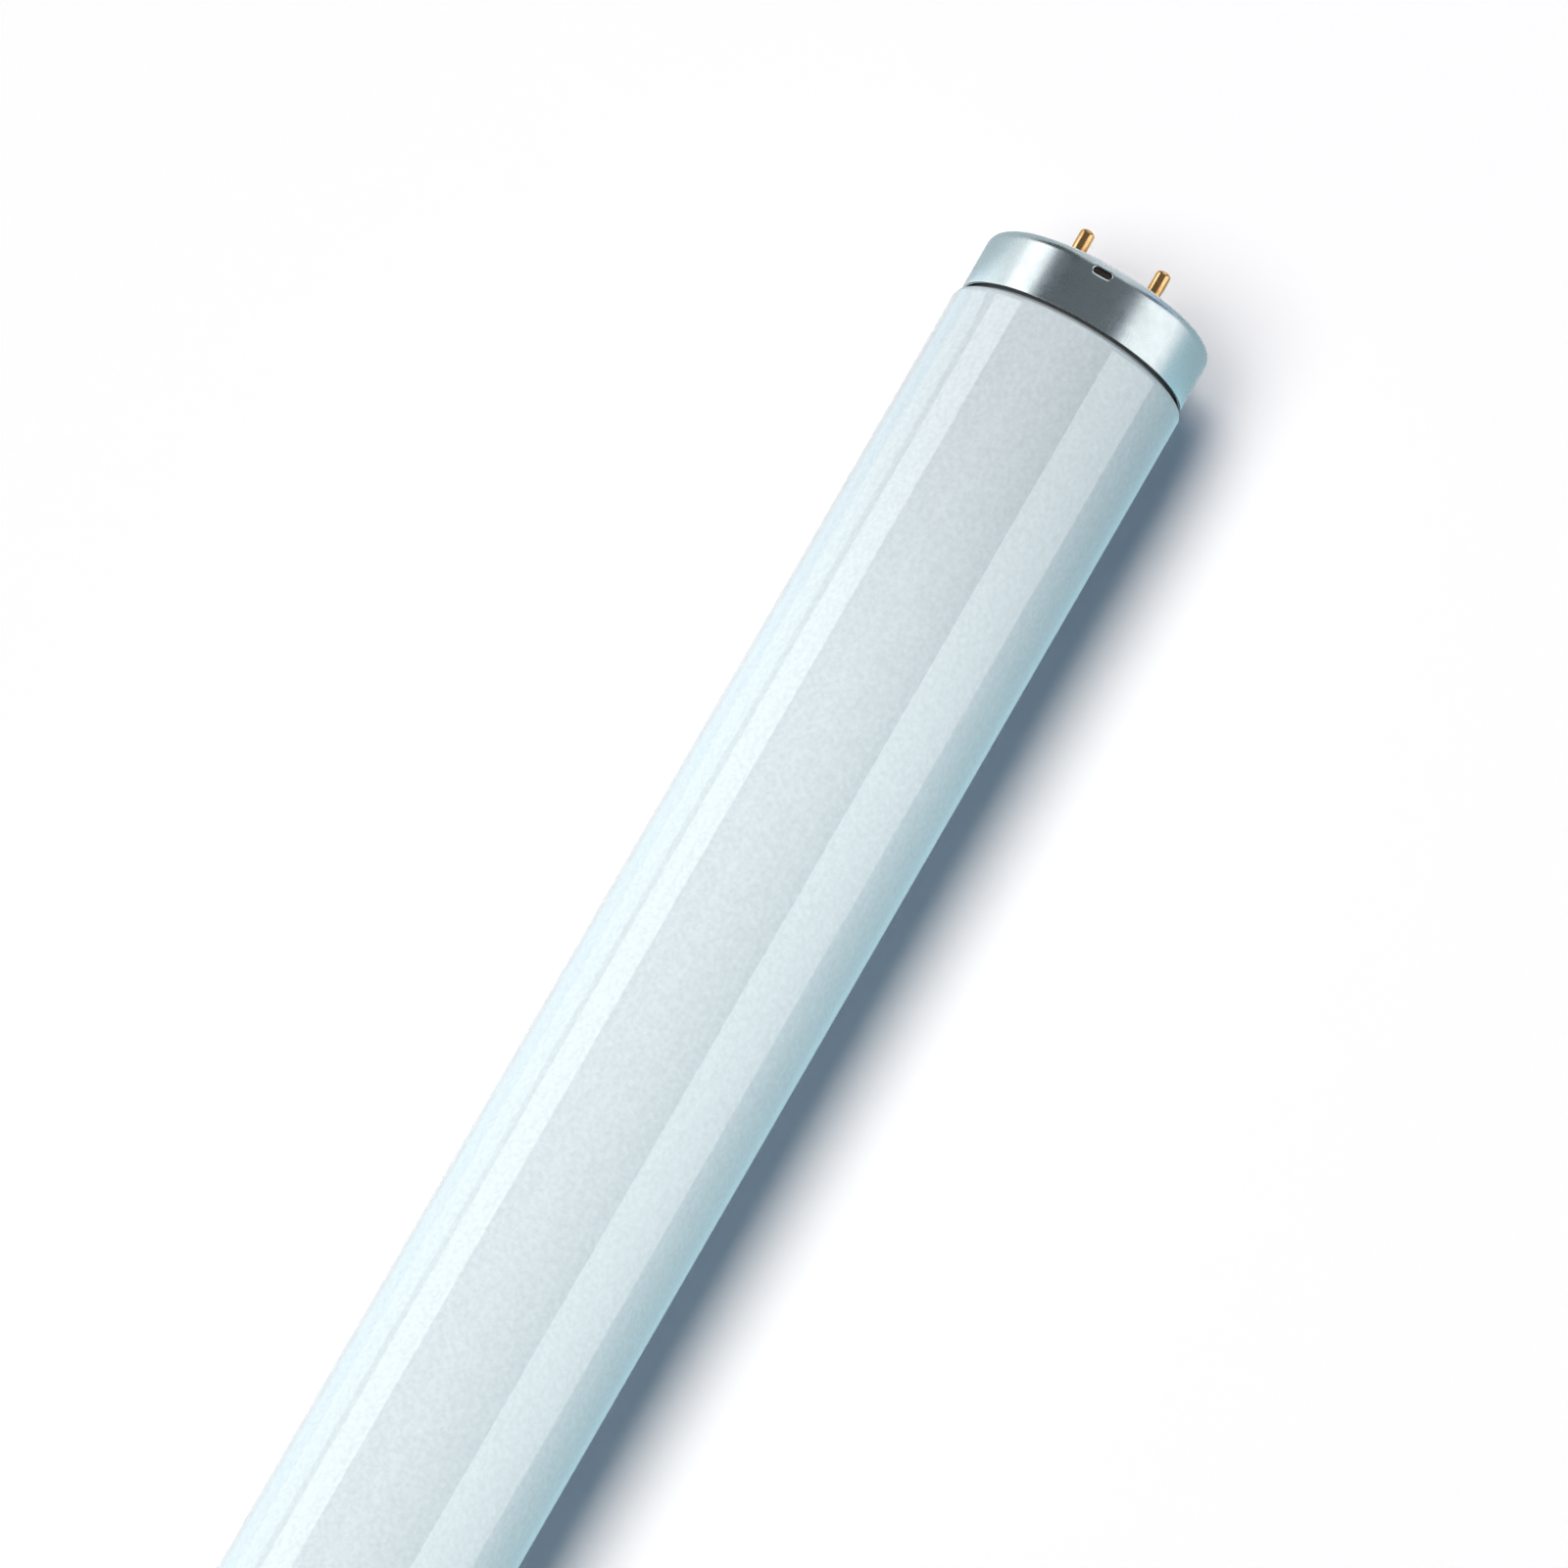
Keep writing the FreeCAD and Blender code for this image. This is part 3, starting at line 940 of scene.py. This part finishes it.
# Places of the studio, in metres from the middle of the tube. Upright panels stand in a row on
# each side of it, another closes the far end, and cards lie on the floor between them.
GROUND = CAD_BOX[0][2]
FLOOR_HALF = 8.0
PANEL_ROW = 0.6
PANEL_NEAR = -0.9
LEFT_FAR = 0.6
RIGHT_FAR = 0.7
FRONT = 1.2
FRONT_HALF = 0.5
CORNER_TOP = 1.0
CARD_LEVEL = GROUND + 0.5 * MM
CARD_FAR = 0.6
BESIDE_TUBE = 0.022
EDGE_CARD_START = 0.038
LEFT_CARD_START = 0.075
RIGHT_CARD_SPLIT = -0.22
SKY_LEVEL = 1.2
SKY_HALF = 1.5
SKY_RIGHT = -0.7
SKY_LEFT = 1.3
# Elevations between which the upright panels stand, in degrees, seen from the tube's axis.
LEFT_FLAG_RISE = (1.0, 6.2)
LEFT_BOX_RISE = (6.2, 34.2)
LEFT_FILL_RISE = (6.2, 34.6)
RIGHT_BOX_RISE = (0.3, 52.7)
RIGHT_FILL_RISE = (12, 52)
FRONT_RISE = (-1.2, 55)
WHITE = (0.95, 1.0, 1.0)


def lay_floor(settings):
    """The wide level floor that the tube lies on."""
    half = FLOOR_HALF
    corners = level(GROUND, (-half, -half), (half, -half), (half, half), (-half, half))
    return stage_quad("floor", corners, pale_floor(settings))


def hang_softboxes(metal):
    """A bright strip on each side, weaker in the metal pieces than in the glass."""
    left = upright(PANEL_ROW, LEFT_BOX_RISE, PANEL_NEAR, LEFT_FAR)
    right = upright(-PANEL_ROW, RIGHT_BOX_RISE, PANEL_NEAR, RIGHT_FAR)
    for name, box, on_glass, on_metal in (("left", left, 2.6, 1.6), ("right", right, 2.55, 1.15)):
        softbox = light_panel(name + "_softbox", box, WHITE, on_glass)
        link_light(softbox, metal, "EXCLUDE")
        lamp = panel_lamp(name + "_metal_lamp", box, WHITE, on_metal, "glossy")
        link_light(lamp, metal, "INCLUDE")


def hang_flags():
    """Weaker panels: before the cap, at the left corner, below the left softbox and overhead."""
    front_card = across(FRONT, FRONT_HALF, FRONT_RISE)
    light_panel("front_card", front_card, (0.76, 0.85, 0.88))
    foot = level(CARD_LEVEL, (LEFT_FAR, PANEL_ROW), (FRONT, FRONT_HALF))
    top = level(CORNER_TOP, (FRONT, FRONT_HALF), (LEFT_FAR, PANEL_ROW))
    light_panel("corner_flag", foot + top, (0.05, 0.06, 0.065))
    left_flag = upright(PANEL_ROW, LEFT_FLAG_RISE, PANEL_NEAR, LEFT_FAR)
    light_panel("left_flag", left_flag, WHITE, 0.86)
    right_edge = ((-SKY_HALF, SKY_RIGHT), (SKY_HALF, SKY_RIGHT))
    left_edge = ((SKY_HALF, SKY_LEFT), (-SKY_HALF, SKY_LEFT))
    sky_card = level(SKY_LEVEL, *right_edge, *left_edge)
    light_panel("sky_card", sky_card, (0.135, 0.160, 0.170))


def hang_fills(floor):
    """Soft light from both sides on the matt surfaces, without the floor."""
    left = upright(PANEL_ROW, LEFT_FILL_RISE, PANEL_NEAR, FRONT)
    right = upright(-PANEL_ROW, RIGHT_FILL_RISE, PANEL_NEAR, RIGHT_FAR)
    for name, box, tint, strength in (
        ("left_fill", left, (0.86, 1.0, 0.95), 1.42),
        ("right_fill", right, (0.84, 1.0, 0.94), 1.2),
    ):
        link_light(panel_lamp(name, box, tint, strength, "diffuse"), [floor], "EXCLUDE")


def lay_glass_cards():
    """Cards on the floor that show in the glass, each between two distances aside."""
    for name, low, high, tint, strength in (
        ("left_card", LEFT_CARD_START, PANEL_ROW, (0.92, 1.0, 1.0), 2.05),
        ("left_edge_card", EDGE_CARD_START, LEFT_CARD_START, (0.76, 0.92, 1.0), 1.65),
        ("right_card", -PANEL_ROW, -BESIDE_TUBE, (0.52, 0.88, 1.0), 1.0),
    ):
        far_edge = (under_cap_edge(low), under_cap_edge(high))
        corners = level(CARD_LEVEL, (PANEL_NEAR, low), *far_edge, (PANEL_NEAR, high))
        light_panel(name, corners, tint, strength)


def lay_cap_cards():
    """Cards on the floor that show in the cap, each between two distances aside."""
    for name, low, high, tint in (
        ("left_cap_card", BESIDE_TUBE, PANEL_ROW, (0.52, 0.64, 0.68)),
        ("right_outer_card", -PANEL_ROW, RIGHT_CARD_SPLIT, (0.72, 0.82, 0.85)),
        ("right_cap_card", RIGHT_CARD_SPLIT, -BESIDE_TUBE, (0.40, 0.56, 0.61)),
    ):
        far_edge = ((CARD_FAR, low), (CARD_FAR, high))
        corners = level(CARD_LEVEL, under_cap_edge(low), *far_edge, under_cap_edge(high))
        light_panel(name, corners, tint)


class SetStudio(bpy.types.Operator):
    """Set up the floor, the soft light and the camera"""

    bl_idname = "fluorescent_tube.set_studio"
    bl_label = "Studio"

    def execute(self, context):
        settings = context.scene.tube_studio
        pieces = context.scene.objects
        metal = [piece for piece in pieces if piece.name.endswith(("_end_cap", "_contact"))]
        floor = lay_floor(settings)
        hang_softboxes(metal)
        hang_flags()
        hang_fills(floor)
        lay_glass_cards()
        lay_cap_cards()
        sky_light(settings)
        key_light(settings)
        camera_view(settings)
        context.scene.view_settings.view_transform = "Standard"
        return {"FINISHED"}


class FluorescentTubePanel(bpy.types.Panel):
    """Lists the steps that build the tube"""

    bl_idname = "VIEW3D_PT_fluorescent_tube"
    bl_label = "Fluorescent tube"
    bl_space_type = "VIEW_3D"
    bl_region_type = "UI"
    bl_category = "Fluorescent tube"

    def draw(self, context):
        """One button for each step."""
        for step in STEPS:
            self.layout.operator(step.bl_idname)


SETTINGS = {
    "tube_glass": TubeGlassSettings,
    "tube_caps": EndCapSettings,
    "tube_pins": ContactPinSettings,
    "tube_inner": InnerPieceSettings,
    "tube_studio": StudioSettings,
}
STEPS = (BuildGlassTube, BuildEndCaps, BuildContactPins, FinishInnerPieces, SetStudio)


def register():
    """Registers the classes and gives every scene its settings."""
    for cls in (*SETTINGS.values(), *STEPS, FluorescentTubePanel):
        bpy.utils.register_class(cls)
    for name, group in SETTINGS.items():
        setattr(bpy.types.Scene, name, PointerProperty(type=group))


def unregister():
    """Takes the settings and classes away again."""
    for name in SETTINGS:
        delattr(bpy.types.Scene, name)
    for cls in (FluorescentTubePanel, *reversed(STEPS), *reversed(SETTINGS.values())):
        bpy.utils.unregister_class(cls)


def main():
    """Runs every step with its own settings."""
    register()
    bpy.ops.fluorescent_tube.build_glass()
    bpy.ops.fluorescent_tube.build_caps()
    bpy.ops.fluorescent_tube.build_pins()
    bpy.ops.fluorescent_tube.finish_inner()
    bpy.ops.fluorescent_tube.set_studio()


if __name__ == "__main__":
    main()
